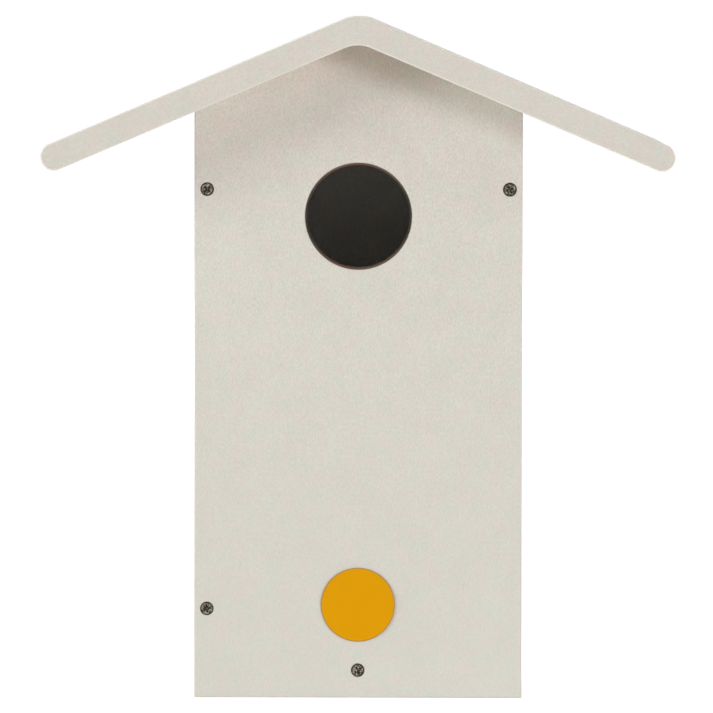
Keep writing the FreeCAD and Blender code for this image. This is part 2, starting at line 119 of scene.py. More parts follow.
def add(tree, kind, *values, **named):
    """A node of that kind. values feed its inputs in order. Of the named ones, those that start
    with a capital feed the input of that name, and the others are the node's own settings."""
    node = tree.nodes.new(kind)
    for name, value in named.items():
        if name[0].islower():
            setattr(node, name, value)
    for socket, value in zip(node.inputs, values):
        feed(tree, socket, value)
    for name, value in named.items():
        if name[0].isupper():
            label = name.replace("_", " ")
            feed(tree, next(s for s in node.inputs if s.name == label and s.enabled), value)
    return node


def blank_material(name):
    """A new material with an empty node tree."""
    material = bpy.data.materials.new(name)
    material.use_nodes = True
    material.node_tree.nodes.clear()
    return material


def colour_of(material):
    """The socket that takes a finished material's colour, and what feeds it now."""
    skin = next(n for n in material.node_tree.nodes if n.type == "BSDF_PRINCIPLED")
    colour = skin.inputs["Base Color"]
    return colour, colour.links[0].from_socket


def dress(node, material):
    """Gives a CAD node this material in its slot."""
    nodes[node].data.materials.clear()
    nodes[node].data.materials.append(material)


def recycled_sheet(name, along, face=None, sawn=None):
    """Recycled polyethylene sheet, extruded, then cut with a saw.

    along is the axis of the extrusion. A flat piece gives face, the axis that its faces look
    along, and the folded roof gives sawn, the one that its sawn ends look along. The eye sees a
    matt warm grey, nearly even, with a fine grain drawn out along the extrusion, soft clouds of
    pinker and greener tint from the mixed feedstock, a few darker flecks, and fine saw lines on
    the cut edges. On a flat piece the grain's contrast grows with the height. Its tint carries
    painted shade, darker and warmer below the roof's slopes, a paler warm band of painted light
    just under the roof, browner painted shade at the ridge, and a painted greener cast of the
    floor's bounce light towards the foot.
    """
    material = blank_material(name)
    tree = material.node_tree
    here = add(tree, "ShaderNodeTexCoord")
    metres = here.outputs["Object"]
    millimetres = add(tree, "ShaderNodeMapping", metres, Scale=(PER_MM, PER_MM, PER_MM))

    drawn = [1.0 if axis == along else ACROSS_EXTRUSION for axis in "XYZ"]
    grain_place = add(tree, "ShaderNodeMapping", millimetres, Scale=drawn)
    grain = add(tree, "ShaderNodeTexNoise", grain_place, Scale=1 / GRAIN_MM, **NOISE)
    patches = add(tree, "ShaderNodeTexNoise", grain_place, Scale=1 / PATCH_MM, **NOISE)
    clouds = add(tree, "ShaderNodeTexNoise", millimetres, Scale=1 / CLOUD_MM)
    hue = add(tree, "ShaderNodeTexNoise", millimetres, Scale=1 / HUE_MM, **NOISE)
    flecks = add(tree, "ShaderNodeTexVoronoi", grain_place, Scale=1 / FLECK_MM)

    normal = add(tree, "ShaderNodeSeparateXYZ", here.outputs["Normal"]).outputs[face or sawn]
    lean = add(tree, "ShaderNodeMath", normal, operation="ABSOLUTE")
    shares = (0.0, 1.0) if face else (1.0, 0.0)
    on_face = add(tree, "ShaderNodeMapRange", lean, *EDGE_LEAN, *shares)

    level = add(tree, "ShaderNodeMapRange", grain, *NOISE_SPAN, *GRAIN_SHADES)
    broad = add(tree, "ShaderNodeMapRange", patches, *NOISE_SPAN, *BROAD_SHADES)
    cloudy = add(tree, "ShaderNodeMapRange", clouds, *NOISE_SPAN, *BROAD_SHADES)
    flecked = add(tree, "ShaderNodeMapRange", flecks, *FLECK_SPAN, *FLECK_SHADES)
    for pattern in (broad, cloudy, flecked):
        level = add(tree, "ShaderNodeMath", level, pattern, operation="MULTIPLY")
    tint = linear(SHEET_TINT)
    if face:
        place = add(tree, "ShaderNodeSeparateXYZ", metres).outputs
        height = place["Z"]
        slope = -math.tan(ROOF_PITCH)
        aside = add(tree, "ShaderNodeMath", place["X"], operation="ABSOLUTE")
        roofline = add(tree, "ShaderNodeMath", aside, slope, GABLE_PEAK, operation="MULTIPLY_ADD")
        below = add(tree, "ShaderNodeMath", roofline, height, operation="SUBTRACT")
        # Painted light: the floor's greener bounce light, full at the foot
        floor_bounce = add(tree, "ShaderNodeMapRange", height, *FLOOR_BOUNCE_HEIGHTS)
        # Painted shade below the roof's slopes
        eaves_shade = add(tree, "ShaderNodeMapRange", below, *EAVES_SHADE_DEPTHS)
        # Painted light in a band just under the roof
        roofline_light = add(tree, "ShaderNodeMapRange", below, *ROOFLINE_LIGHT_DEPTHS)
        # Painted shade at the ridge, which browns the band of painted light there
        ridge_shade = add(tree, "ShaderNodeMapRange", height, *RIDGE_SHADE_HEIGHTS)
        pale, brown = linear(ROOFLINE_LIGHT_TINT), linear(RIDGE_SHADE_TINT)
        warm = add(tree, "ShaderNodeMix", data_type="RGBA", Factor=ridge_shade, A=pale, B=brown)
        bounce_tint, under_eaves_shade = linear(FLOOR_BOUNCE_TINT), linear(EAVES_SHADE_TINT)
        for cover, layer in ((floor_bounce, bounce_tint), (eaves_shade, under_eaves_shade), (roofline_light, warm)):
            tint = add(tree, "ShaderNodeMix", data_type="RGBA", Factor=cover, A=tint, B=layer)
        contrast = add(tree, "ShaderNodeMapRange", height, *CONTRAST_HEIGHTS, *GRAIN_CONTRAST)
        swing = add(tree, "ShaderNodeMath", level, 1.0, operation="SUBTRACT")
        level = add(tree, "ShaderNodeMath", swing, contrast, 1.0, operation="MULTIPLY_ADD")
    cut = linear(CUT_TINT)
    tint = add(tree, "ShaderNodeMix", data_type="RGBA", Factor=on_face, A=cut, B=tint)
    pink = add(tree, "ShaderNodeMapRange", hue, *NOISE_SPAN, *PINK_SHADES)
    green = add(tree, "ShaderNodeMapRange", hue, *NOISE_SPAN, *GREEN_SHADES)
    drift = add(tree, "ShaderNodeCombineXYZ", pink, green, 1.0)
    shade = add(tree, "ShaderNodeVectorMath", drift, Scale=level, operation="SCALE")
    colour = add(tree, "ShaderNodeVectorMath", tint, shade, operation="MULTIPLY")

    stroke = [ALONG_STROKE if axis == (face or "Z") else 1.0 for axis in "XYZ"]
    saw_place = add(tree, "ShaderNodeMapping", millimetres, Scale=stroke)
    saw = add(tree, "ShaderNodeTexNoise", saw_place, Scale=1 / SAW_MM, Roughness=0.7)
    relief = add(tree, "ShaderNodeMix", data_type="FLOAT", Factor=on_face, A=saw, B=grain)
    bump = add(tree, "ShaderNodeBump", Strength=0.5, Distance=0.0001, Height=relief)

    roughness = add(tree, "ShaderNodeMapRange", grain, *NOISE_SPAN, *SHEET_ROUGHNESS)
    skin = add(
        tree,
        "ShaderNodeBsdfPrincipled",
        colour,
        Roughness=roughness,
        IOR=1.52,
        Normal=bump,
    )
    add(tree, "ShaderNodeOutputMaterial", skin)
    return material


# Its chamber side keeps a thin cool grey film from the mill, which the weather has cleaned off
# outside. FILM_LEAN is how far the normal leans forwards where the film starts and is full.
FILM_LEAN = (0.4, 0.9)
finish = recycled_sheet("recycled_polyethylene_back", "Z", face="Y")
tree = finish.node_tree
colour, clean = colour_of(finish)
facing = add(tree, "ShaderNodeTexCoord").outputs["Normal"]
forward = add(tree, "ShaderNodeVectorMath", facing, (0, -1, 0), operation="DOT_PRODUCT")
inside = add(tree, "ShaderNodeMapRange", forward, *FILM_LEAN)
clear, grey = linear("#FFFFFF"), linear(FILM_TINT)
film = add(tree, "ShaderNodeMix", data_type="RGBA", Factor=inside, A=clear, B=grey)
filmed = add(tree, "ShaderNodeVectorMath", clean, film, operation="MULTIPLY")
feed(tree, colour, filmed)
dress("back_panel", finish)


# Front panel. The same gable with the entrance bored through it. The bore and the bevel round its
# mouth are brown, partly as painted shade, and darker at the two sides, which is painted shade.
ENTRANCE_HEIGHT = 0.1789
BORE_RADIUS = 0.01905
SIDE_SHADE_SHARE = 0.3
BROWN_WIDTH = 0.0007
BROWN_FADE = 0.00015
BORE_BROWN_TINT = "#6A5246"
SIDE_SHADE_TINT = "#33271F"

finish = recycled_sheet("recycled_polyethylene_front", "Z", face="Y")
tree = finish.node_tree
colour, plain = colour_of(finish)
here = add(tree, "ShaderNodeTexCoord").outputs["Object"]
hole = (0, 0, ENTRANCE_HEIGHT)
from_hole = add(tree, "ShaderNodeVectorMath", here, hole, operation="SUBTRACT")
flat = add(tree, "ShaderNodeVectorMath", from_hole, (1, 0, 1), operation="MULTIPLY")
reach = add(tree, "ShaderNodeVectorMath", flat, operation="LENGTH")
brown_edge = BORE_RADIUS + BROWN_WIDTH
bore_brown = add(tree, "ShaderNodeMapRange", reach, brown_edge + BROWN_FADE, brown_edge)
up = add(tree, "ShaderNodeSeparateXYZ", flat).outputs["Z"]
rise = add(tree, "ShaderNodeMath", up, operation="ABSOLUTE")
# Painted shade darkens the brown at the two sides of the bore, and top and bottom stay lighter
crown = add(tree, "ShaderNodeMapRange", rise, BORE_RADIUS * SIDE_SHADE_SHARE, BORE_RADIUS)
dark, light = linear(SIDE_SHADE_TINT), linear(BORE_BROWN_TINT)
brown = add(tree, "ShaderNodeMix", data_type="RGBA", Factor=crown, A=dark, B=light)
mixed = add(tree, "ShaderNodeMix", data_type="RGBA", Factor=bore_brown, A=plain, B=brown)
feed(tree, colour, mixed)
dress("front_panel", finish)


# Fixed side and clean-out door. Two plain rectangles of the same sheet between the gables. The
# left one is screwed fast, and the right one hangs on the two upper screws.
finish = recycled_sheet("recycled_polyethylene_sides", "Z", face="X")
dress("left_side", finish)
dress("side_door", finish)


# Floor of the chamber. A rectangle of the sheet let in between the walls, with a drain hole near
# each corner.
dress("floor", recycled_sheet("recycled_polyethylene_floor", "Y", face="Z"))


# Roof. One length of sheet, heated and folded to a round ridge, with its eaves routed to a full
# round. Its two ends are sawn, and the bevels round their edges carry a painted highlight, a paler
# tint than the sheet.
# Painted highlight on the bevels of the roof's ends
BEVEL_HIGHLIGHT_TINT = "#EFECE3"

# How far the normal leans along the box where the bevel comes in, from the slopes and from an end
FROM_SLOPE = (0.3, 0.55)
FROM_END = (0.97, 0.85)

finish = recycled_sheet("recycled_polyethylene_roof", "Y", sawn="Y")
tree = finish.node_tree
colour, plain = colour_of(finish)
facing = add(tree, "ShaderNodeTexCoord").outputs["Normal"]
along_box = add(tree, "ShaderNodeSeparateXYZ", facing).outputs["Y"]
lean = add(tree, "ShaderNodeMath", along_box, operation="ABSOLUTE")
off_slope = add(tree, "ShaderNodeMapRange", lean, *FROM_SLOPE)
off_end = add(tree, "ShaderNodeMapRange", lean, *FROM_END)
bevel = add(tree, "ShaderNodeMath", off_slope, off_end, operation="MULTIPLY")
# The bevels take a paler tint, a painted highlight
white = linear(BEVEL_HIGHLIGHT_TINT)
highlighted = add(tree, "ShaderNodeMix", data_type="RGBA", Factor=bevel, A=plain, B=white)
feed(tree, colour, highlighted)
dress("roof", finish)


# Screws. Countersunk wood screws of steel with a dark bronze-grey coat. A cross recess is punched
# in each head, and the thread is rolled. They are set just under the face of the sheet, each at
# its own turn.
COAT_TINT = "#2C2822"
BARE_TINT = "#A6A091"
STEEL_ROUGHNESS = (0.55, 0.3)

# The mottle is too fine to show, so it is drawn as coarse as it needs. The coat is worn through
# where its noise passes RUBBED_SPAN.
MOTTLE_MM = 0.5
RUBBED_SPAN = (0.42, 0.6)

# Sizes of a screw in metres. HEAD_LIFT is how far its head stands above that of the CAD, and
# SHOULDER how far the shank takes to narrow to the root of the thread.
SCREW_SIZES = {
    "Head Diameter": 0.00528,
    "Head Depth": 0.00142,
    "Rim Width": 0.0005,
    "Recess Span": 0.0029,
    "Recess Slot": 0.00078,
    "Recess Depth": 0.0011,
    "Shank Diameter": 0.00284,
    "Root Diameter": 0.0021,
    "Point Length": 0.0022,
    "Pitch": 0.00141,
}
HEAD_LIFT = 0.00012
SHOULDER = 0.0003

# The recess's walls turn in at PIT_WIDTH of its outline and PIT_DEPTH of its depth. The wear round
# it, with a painted glint of bare metal, is strongest at WORN_GLINT_LIP of its outline, and fades
# out from WORN_GLINT_REACH of the flat's radius.
# The rim slopes down by RIM_SLOPE of its width. TIP_RADIUS is how much of the thread's radius is
# left at the tip, and SHANK_WEAR is the wear below the head.
PIT_WIDTH = 0.6
PIT_DEPTH = 0.75
WORN_GLINT_LIP = 1.12
WORN_GLINT_REACH = 0.93
RIM_SLOPE = 0.5
TIP_RADIUS = 0.2
SHANK_WEAR = 0.3

# Columns round a screw, steps in a turn of its thread, the distance at which points are welded,
# the smallest sine that the cross is worked out with, and the angle from which an edge is sharp
RIM_COLUMNS = 48
THREAD_STEPS = 20
WELD = 1e-6
LEAST_SINE = 0.001
SHARP_ANGLE = math.radians(20)


def coated_steel():
    """Steel with a dark dipped coat: dull and nearly black at the rim and on the recess's walls,
    rubbed through in patches on the head's flat. The bare metal at the bottom of the recess and
    along its lip is a painted glint."""
    material = blank_material("bronze_grey_coated_steel")
    tree = material.node_tree
    here = add(tree, "ShaderNodeTexCoord").outputs["Object"]
    mottle = add(tree, "ShaderNodeTexNoise", here, Scale=PER_MM / MOTTLE_MM, **NOISE)
    patchy = add(tree, "ShaderNodeMapRange", mottle, *RUBBED_SPAN)
    # Where the coat is rubbed through, and where bare metal is a painted glint
    wear_and_glint = add(tree, "ShaderNodeAttribute", attribute_name="wear_and_glint").outputs["Fac"]
    rubbed_and_glinting = add(tree, "ShaderNodeMath", patchy, wear_and_glint, operation="MULTIPLY")
    coat, bare = linear(COAT_TINT), linear(BARE_TINT)
    tint = add(tree, "ShaderNodeMix", data_type="RGBA", Factor=rubbed_and_glinting, A=coat, B=bare)
    roughness = add(tree, "ShaderNodeMapRange", rubbed_and_glinting, 0.0, 1.0, *STEEL_ROUGHNESS)
    bump = add(tree, "ShaderNodeBump", Strength=0.3, Distance=0.00005, Height=mottle)
    skin = add(
        tree,
        "ShaderNodeBsdfPrincipled",
        tint,
        Metallic=0.8,
        Roughness=roughness,
        Normal=bump,
    )
    add(tree, "ShaderNodeOutputMaterial", skin)
    return material


def screw_tree():
    """Screws on points. Each is a grid wrapped round its axis, row by row from the bottom of the
    recess, over the head and down the shank to the tip, with the thread swept along a spiral.
    A stored attribute says where the coat is rubbed, and where bare metal is a painted glint."""
    tree = bpy.data.node_groups.new("countersunk_screws", "GeometryNodeTree")
    lengths = [*SCREW_SIZES, "Smooth Length", "Length"]
    inputs = {"Geometry": "NodeSocketGeometry", **{name: "NodeSocketFloat" for name in lengths}}
    inputs |= {"Columns": "NodeSocketInt", "Material": "NodeSocketMaterial"}
    for label, kind in inputs.items():
        tree.interface.new_socket(label, in_out="INPUT", socket_type=kind)
    tree.interface.new_socket("Geometry", in_out="OUTPUT", socket_type="NodeSocketGeometry")
    given = add(tree, "NodeGroupInput").outputs
    half, below = {}, {}
    for name in ("Head Diameter", "Recess Span", "Recess Slot", "Shank Diameter", "Root Diameter"):
        half[name] = add(tree, "ShaderNodeMath", given[name], 0.5, operation="MULTIPLY")
    for name in ("Head Depth", "Recess Depth", "Smooth Length", "Length"):
        below[name] = add(tree, "ShaderNodeMath", given[name], -1.0, operation="MULTIPLY")

    # Row and column of each point of the grid, and its angle round the axis
    around = add(tree, "ShaderNodeMath", given["Columns"], 1.0, operation="ADD")
    index = add(tree, "GeometryNodeInputIndex")
    middle = add(tree, "ShaderNodeMath", index, 0.5, operation="ADD")
    share = add(tree, "ShaderNodeMath", middle, around, operation="DIVIDE")
    row = add(tree, "ShaderNodeMath", share, operation="FLOOR")
    before = add(tree, "ShaderNodeMath", row, around, operation="MULTIPLY")
    column = add(tree, "ShaderNodeMath", index, before, operation="SUBTRACT")
    step = add(tree, "ShaderNodeMath", math.tau, given["Columns"], operation="DIVIDE")
    angle = add(tree, "ShaderNodeMath", column, step, operation="MULTIPLY")

    # Outline of the cross recess, from the angle folded into an eighth of a turn
    fold = add(tree, "ShaderNodeMath", angle, math.pi / 4, operation="PINGPONG")
    cosine = add(tree, "ShaderNodeMath", fold, operation="COSINE")
    sine = add(tree, "ShaderNodeMath", fold, operation="SINE")
    sine = add(tree, "ShaderNodeMath", sine, LEAST_SINE, operation="MAXIMUM")
    to_end = add(tree, "ShaderNodeMath", half["Recess Span"], cosine, operation="DIVIDE")
    to_flank = add(tree, "ShaderNodeMath", half["Recess Slot"], sine, operation="DIVIDE")
    cross = add(tree, "ShaderNodeMath", to_end, to_flank, operation="MINIMUM")
    pit = add(tree, "ShaderNodeMath", cross, PIT_WIDTH, operation="MULTIPLY")
    depth = below["Recess Depth"]
    pit_floor = add(tree, "ShaderNodeMath", depth, PIT_DEPTH, operation="MULTIPLY")
    lip = add(tree, "ShaderNodeMath", cross, WORN_GLINT_LIP, operation="MULTIPLY")

    # Rows of the grid, from the bottom of the recess to the tip: radius, height and wear, which
    # also paints a glint of bare metal at the bottom of the recess and round its lip
    rim, point = given["Rim Width"], given["Point Length"]
    flat = add(tree, "ShaderNodeMath", half["Head Diameter"], rim, operation="SUBTRACT")
    ring = add(tree, "ShaderNodeMath", flat, WORN_GLINT_REACH, operation="MULTIPLY")
    rim_foot = add(tree, "ShaderNodeMath", rim, -RIM_SLOPE, operation="MULTIPLY")
    root_top = add(tree, "ShaderNodeMath", below["Smooth Length"], SHOULDER, operation="SUBTRACT")
    root_foot = add(tree, "ShaderNodeMath", below["Length"], point, operation="ADD")
    shank, root = half["Shank Diameter"], half["Root Diameter"]
    profile = [
        (0.0, depth, 1.0),
        (pit, pit_floor, 0.35),
        (cross, 0.0, 0.3),
        (lip, 0.0, 0.9),
        (ring, 0.0, 0.6),
        (flat, 0.0, 0.0),
        (half["Head Diameter"], rim_foot, 0.0),
        (shank, below["Head Depth"], SHANK_WEAR),
        (shank, below["Smooth Length"], SHANK_WEAR),
        (root, root_top, SHANK_WEAR),
        (root, root_foot, SHANK_WEAR),
        (0.0, below["Length"], SHANK_WEAR),
    ]
    picks = [add(tree, "GeometryNodeIndexSwitch", row, data_type="FLOAT") for _ in range(3)]
    for pick, values in zip(picks, zip(*profile)):
        while len(pick.index_switch_items) < len(values):
            pick.index_switch_items.new()
        for socket, value in zip(pick.inputs[1:], values):
            feed(tree, socket, value)
    radius, height, wear_and_glint = picks
    full_cosine = add(tree, "ShaderNodeMath", angle, operation="COSINE")
    full_sine = add(tree, "ShaderNodeMath", angle, operation="SINE")
    x = add(tree, "ShaderNodeMath", radius, full_cosine, operation="MULTIPLY")
    y = add(tree, "ShaderNodeMath", radius, full_sine, operation="MULTIPLY")
    place = add(tree, "ShaderNodeCombineXYZ", x, y, height)
    grid = add(tree, "GeometryNodeMeshGrid", Vertices_X=len(profile), Vertices_Y=around)
    marked = add(tree, "GeometryNodeStoreNamedAttribute", grid, Name="wear_and_glint", Value=wear_and_glint)
    turned = add(tree, "GeometryNodeSetPosition", marked, Position=place)
    blank = add(tree, "GeometryNodeMergeByDistance", turned, Distance=WELD)

    # Thread: a square ridge on edge, swept down a spiral that narrows at the tip
    crest = add(tree, "ShaderNodeMath", shank, root, operation="SUBTRACT")
    smooth = given["Smooth Length"]
    threaded = add(tree, "ShaderNodeMath", given["Length"], smooth, operation="SUBTRACT")
    run = add(tree, "ShaderNodeMath", threaded, crest, operation="SUBTRACT")
    turns = add(tree, "ShaderNodeMath", run, given["Pitch"], operation="DIVIDE")
    spiral = add(
        tree,
        "GeometryNodeCurveSpiral",
        Resolution=THREAD_STEPS,
        Rotations=turns,
        Start_Radius=root,
        End_Radius=root,
        Height=run,
    )
    where = add(tree, "GeometryNodeInputPosition")
    rise = add(tree, "ShaderNodeSeparateXYZ", where).outputs["Z"]
    taper = add(tree, "ShaderNodeMapRange", rise, 0.0, point, TIP_RADIUS, 1.0)
    tapered = add(tree, "ShaderNodeVectorMath", where, Scale=taper, operation="SCALE")
    thin = add(tree, "ShaderNodeSeparateXYZ", tapered).outputs
    sunk = add(tree, "ShaderNodeMath", crest, given["Length"], operation="SUBTRACT")
    lowered = add(tree, "ShaderNodeMath", rise, sunk, operation="ADD")
    helix_place = add(tree, "ShaderNodeCombineXYZ", thin["X"], thin["Y"], lowered)
    helix = add(tree, "GeometryNodeSetPosition", spiral, Position=helix_place)
    helix = add(tree, "GeometryNodeSetCurveNormal", helix, mode="Z_UP")
    ridge = add(tree, "GeometryNodeCurvePrimitiveCircle", Resolution=4, Radius=crest)
    thread = add(tree, "GeometryNodeCurveToMesh", helix, Profile_Curve=ridge, Fill_Caps=True)
    rolled = add(
        tree,
        "GeometryNodeStoreNamedAttribute",
        thread,
        Name="wear_and_glint",
        Value=SHANK_WEAR,
    )

    screw = add(tree, "GeometryNodeJoinGeometry", blank)
    feed(tree, screw.inputs[0], rolled)
    turn = add(tree, "GeometryNodeInputNamedAttribute", "turn", data_type="FLOAT_VECTOR")
    points = given["Geometry"]
    driven = add(tree, "GeometryNodeInstanceOnPoints", points, Instance=screw, Rotation=turn)
    real = add(tree, "GeometryNodeRealizeInstances", driven)
    coated = add(tree, "GeometryNodeSetMaterial", real, Material=given["Material"])
    add(tree, "NodeGroupOutput", coated)
    return tree


# Points this close along a screw, in metres, lie on the same face
SAME_FACE = 1e-5


def seat(node, outward):
    """Centre of the head's face of a CAD screw, and its length from there to the tip."""
    points = [v.co for v in nodes[node].data.vertices]
    along = [p.dot(outward) for p in points]
    top = [p for p, a in zip(points, along) if a > max(along) - SAME_FACE]
    low = Vector([min(p[i] for p in top) for i in range(3)])
    high = Vector([max(p[i] for p in top) for i in range(3)])
    return (low + high) / 2, max(along) - min(along)


def drive_screws(spins, smooth):
    """A plain mesh of screws in the seats of CAD screws. spins gives each one's outward direction
    and its own turn in degrees, and smooth the length of shank without a thread."""
    points, turns = [], []
    for node, (outward, spin) in spins.items():
        place, length = seat(node, outward)
        points.append(place + outward * HEAD_LIFT)
        upright = outward.to_track_quat("Z", "Y")
        turned = Matrix.Rotation(math.radians(spin), 3, "Z").to_quaternion()
        turns += (upright @ turned).to_euler()
    mesh = bpy.data.meshes.new("seats")
    mesh.from_pydata(points, [], [])
    mesh.attributes.new("turn", "FLOAT_VECTOR", "POINT").data.foreach_set("vector", turns)
    seats = bpy.data.objects.new("seats", mesh)
    bpy.context.scene.collection.objects.link(seats)
    modifier = seats.modifiers.new("screws", "NODES")
    modifier.node_group = SCREWS
    sizes = {
        **SCREW_SIZES,
        "Smooth Length": smooth + HEAD_LIFT,
        "Length": length + HEAD_LIFT,
        "Columns": RIM_COLUMNS,
        "Material": STEEL,
    }
    for socket in SCREWS.interface.items_tree:
        if socket.name in sizes:
            modifier[socket.identifier] = sizes[socket.name]
    evaluated = seats.evaluated_get(bpy.context.evaluated_depsgraph_get())
    made = bpy.data.meshes.new_from_object(evaluated)
    bpy.data.objects.remove(seats)
    return made


def screw_piece(name, body, groups):
    """One piece from groups of screws, which stands for their CAD screws."""
    joined = bmesh.new()
    for spins, smooth in groups:
        joined.from_mesh(drive_screws(spins, smooth))
    bmesh.ops.recalc_face_normals(joined, faces=joined.faces)
    mesh = bpy.data.meshes.new(name)
    joined.to_mesh(mesh)
    joined.free()
    mesh.materials.append(STEEL)
    mesh.polygons.foreach_set("use_smooth", [True] * len(mesh.polygons))
    mesh.set_sharp_from_angle(angle=SHARP_ANGLE)
    piece = bpy.data.objects.new(name, mesh)
    bpy.context.scene.collection.objects.link(piece)
    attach(piece, body)
    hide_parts(*[node for spins, _ in groups for node in spins])


STEEL = coated_steel()
SCREWS = screw_tree()
FORWARDS, BACKWARDS = Vector((0, -1, 0)), Vector((0, 1, 0))
LEFTWARDS, RIGHTWARDS = Vector((-1, 0, 0)), Vector((1, 0, 0))
UP_LEFT = Vector((-math.sin(ROOF_PITCH), 0, math.cos(ROOF_PITCH)))
UP_RIGHT = Vector((math.sin(ROOF_PITCH), 0, math.cos(ROOF_PITCH)))

# Smooth shank: through the sheet, and for a pivot through the gap beside the door as well
THROUGH_SHEET = 0.0098
THROUGH_PIVOT = 0.0106
fast = {
    "front_screw_upper_left": (FORWARDS, 45),
    "front_screw_lower_left": (FORWARDS, 8),
    "front_screw_floor": (FORWARDS, 32),
    "back_screw_upper_left": (BACKWARDS, 12),
    "back_screw_lower_left": (BACKWARDS, 70),
    "back_screw_floor": (BACKWARDS, 50),
    "left_floor_screw": (LEFTWARDS, 20),
    "roof_screw_front_left": (UP_LEFT, 15),
    "roof_screw_front_right": (UP_RIGHT, 60),
    "roof_screw_back_left": (UP_LEFT, 33),
    "roof_screw_back_right": (UP_RIGHT, 80),
}
pivots = {"front_pivot_screw": (FORWARDS, 24), "back_pivot_screw": (BACKWARDS, 3)}
lock = {"door_lock_screw": (RIGHTWARDS, 38)}
screw_piece("house_screws", "house", [(fast, THROUGH_SHEET)])
screw_piece("door_screws", "door", [(pivots, THROUGH_PIVOT), (lock, THROUGH_SHEET)])


# Disc. A round of thin vinyl, printed with a dense matt amber ink and a thin darker line at its
# rim, stuck on the front.
AMBER_TINT = "#E6A200"
AMBER_RIM_TINT = "#BC9248"
RIM_LINE = 0.0006

# The ink's mottle is too fine to show, so it is drawn as coarse as it needs
INK_MM = 0.45
INK_SHADES = (0.975, 1.02)
low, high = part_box("label_disc")
disc_centre = (low + high) / 2
disc_radius = (high.x - low.x) / 2
finish = blank_material("matt_printed_vinyl")
tree = finish.node_tree
here = add(tree, "ShaderNodeTexCoord").outputs["Object"]
out = add(tree, "ShaderNodeVectorMath", here, disc_centre, operation="SUBTRACT")
flat = add(tree, "ShaderNodeVectorMath", out, (1, 0, 1), operation="MULTIPLY")
reach = add(tree, "ShaderNodeVectorMath", flat, operation="LENGTH")
rim = add(tree, "ShaderNodeMapRange", reach, disc_radius - RIM_LINE, disc_radius - RIM_LINE / 2)
ink = add(tree, "ShaderNodeTexNoise", here, Scale=PER_MM / INK_MM)
swing = add(tree, "ShaderNodeMapRange", ink, *NOISE_SPAN, *INK_SHADES)
field, line = linear(AMBER_TINT), linear(AMBER_RIM_TINT)
amber = add(tree, "ShaderNodeMix", data_type="RGBA", Factor=rim, A=field, B=line)
printed = add(tree, "ShaderNodeVectorMath", amber, Scale=swing, operation="SCALE")
bump = add(tree, "ShaderNodeBump", Strength=0.1, Distance=0.00003, Height=ink)
skin = add(
    tree,
    "ShaderNodeBsdfPrincipled",
    printed,
    Roughness=0.6,
    IOR=1.5,
    Specular_IOR_Level=0.06,
    Normal=bump,
)
add(tree, "ShaderNodeOutputMaterial", skin)
dress("label_disc", finish)


# Studio. A white paper floor that runs to the horizon under a white sky, and soft lamps. The lens
# and every reflection see the sky as plain white and the paper lifted towards it, more the further
# out it lies. The light that both give the box is what the glows below say.
PAPER_TINT = (0.85, 0.85, 0.85, 1.0)
WHITE = (1.0, 1.0, 1.0, 1.0)
FLOOR_HALF = 30.0
LIFT_REACH = (0.5, 2.5)
LIFT = (0.6, 0.93)
FLOOR_GLOW = 0.09
FLOOR_GLOW_TINT = (1.0, 0.8, 0.72, 1.0)
SKY_GLOW = 0.12
SKY_GLOW_TINT = (1.0, 0.86, 0.79, 1.0)
corners = [(-FLOOR_HALF, -FLOOR_HALF, 0), (FLOOR_HALF, -FLOOR_HALF, 0)]
corners += [(FLOOR_HALF, FLOOR_HALF, 0), (-FLOOR_HALF, FLOOR_HALF, 0)]
mesh = bpy.data.meshes.new("studio_floor")
mesh.from_pydata(corners, [], [(0, 1, 2, 3)])
floor = bpy.data.objects.new("studio_floor", mesh)
bpy.context.scene.collection.objects.link(floor)
paper = blank_material("white_paper_sweep")
world = bpy.data.worlds.new("white_studio")
world.use_nodes = True
world.node_tree.nodes.clear()
bpy.context.scene.world = world
direct = {}
for tree in (paper.node_tree, world.node_tree):
    ray = add(tree, "ShaderNodeLightPath").outputs
    mirrored, bent = ray["Is Glossy Ray"], ray["Is Transmission Ray"]
    shiny = add(tree, "ShaderNodeMath", mirrored, bent, operation="MAXIMUM")
    direct[tree] = add(tree, "ShaderNodeMath", shiny, ray["Is Camera Ray"], operation="MAXIMUM")
tree = paper.node_tree
matt = add(tree, "ShaderNodeBsdfDiffuse", PAPER_TINT)
glow = add(tree, "ShaderNodeEmission", FLOOR_GLOW_TINT, FLOOR_GLOW)
here = add(tree, "ShaderNodeTexCoord").outputs["Object"]
out = add(tree, "ShaderNodeVectorMath", here, operation="LENGTH")
rise = add(tree, "ShaderNodeMapRange", out, *LIFT_REACH, *LIFT)

# It isn't lifted where the box stands, so the paper stays dark under the door's foot and the
# chamber's floor. The lift comes in from FOOT_EDGE inside the box's outline to FOOT_FADE outside.
FOOT_EDGE = 0.002
FOOT_FADE = 0.001
foot_low, foot_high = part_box("front_panel")[0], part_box("back_panel")[1]
foot_centre, foot_half = (foot_low + foot_high) / 2, (foot_high - foot_low) / 2
foot_centre.z = foot_half.z = 0.0
from_centre = add(tree, "ShaderNodeVectorMath", here, foot_centre, operation="SUBTRACT")
from_centre = add(tree, "ShaderNodeVectorMath", from_centre, operation="ABSOLUTE")
past_foot = add(tree, "ShaderNodeVectorMath", from_centre, foot_half, operation="SUBTRACT")
past = add(tree, "ShaderNodeSeparateXYZ", past_foot).outputs
beyond = add(tree, "ShaderNodeMath", past["X"], past["Y"], operation="MAXIMUM")
open_paper = add(tree, "ShaderNodeMapRange", beyond, -FOOT_EDGE, FOOT_FADE)
level = add(tree, "ShaderNodeMath", rise, open_paper, operation="MULTIPLY")
lift = add(tree, "ShaderNodeEmission", WHITE, level)
light = add(tree, "ShaderNodeMixShader", direct[tree], glow, lift)
lit = add(tree, "ShaderNodeAddShader", matt, light)
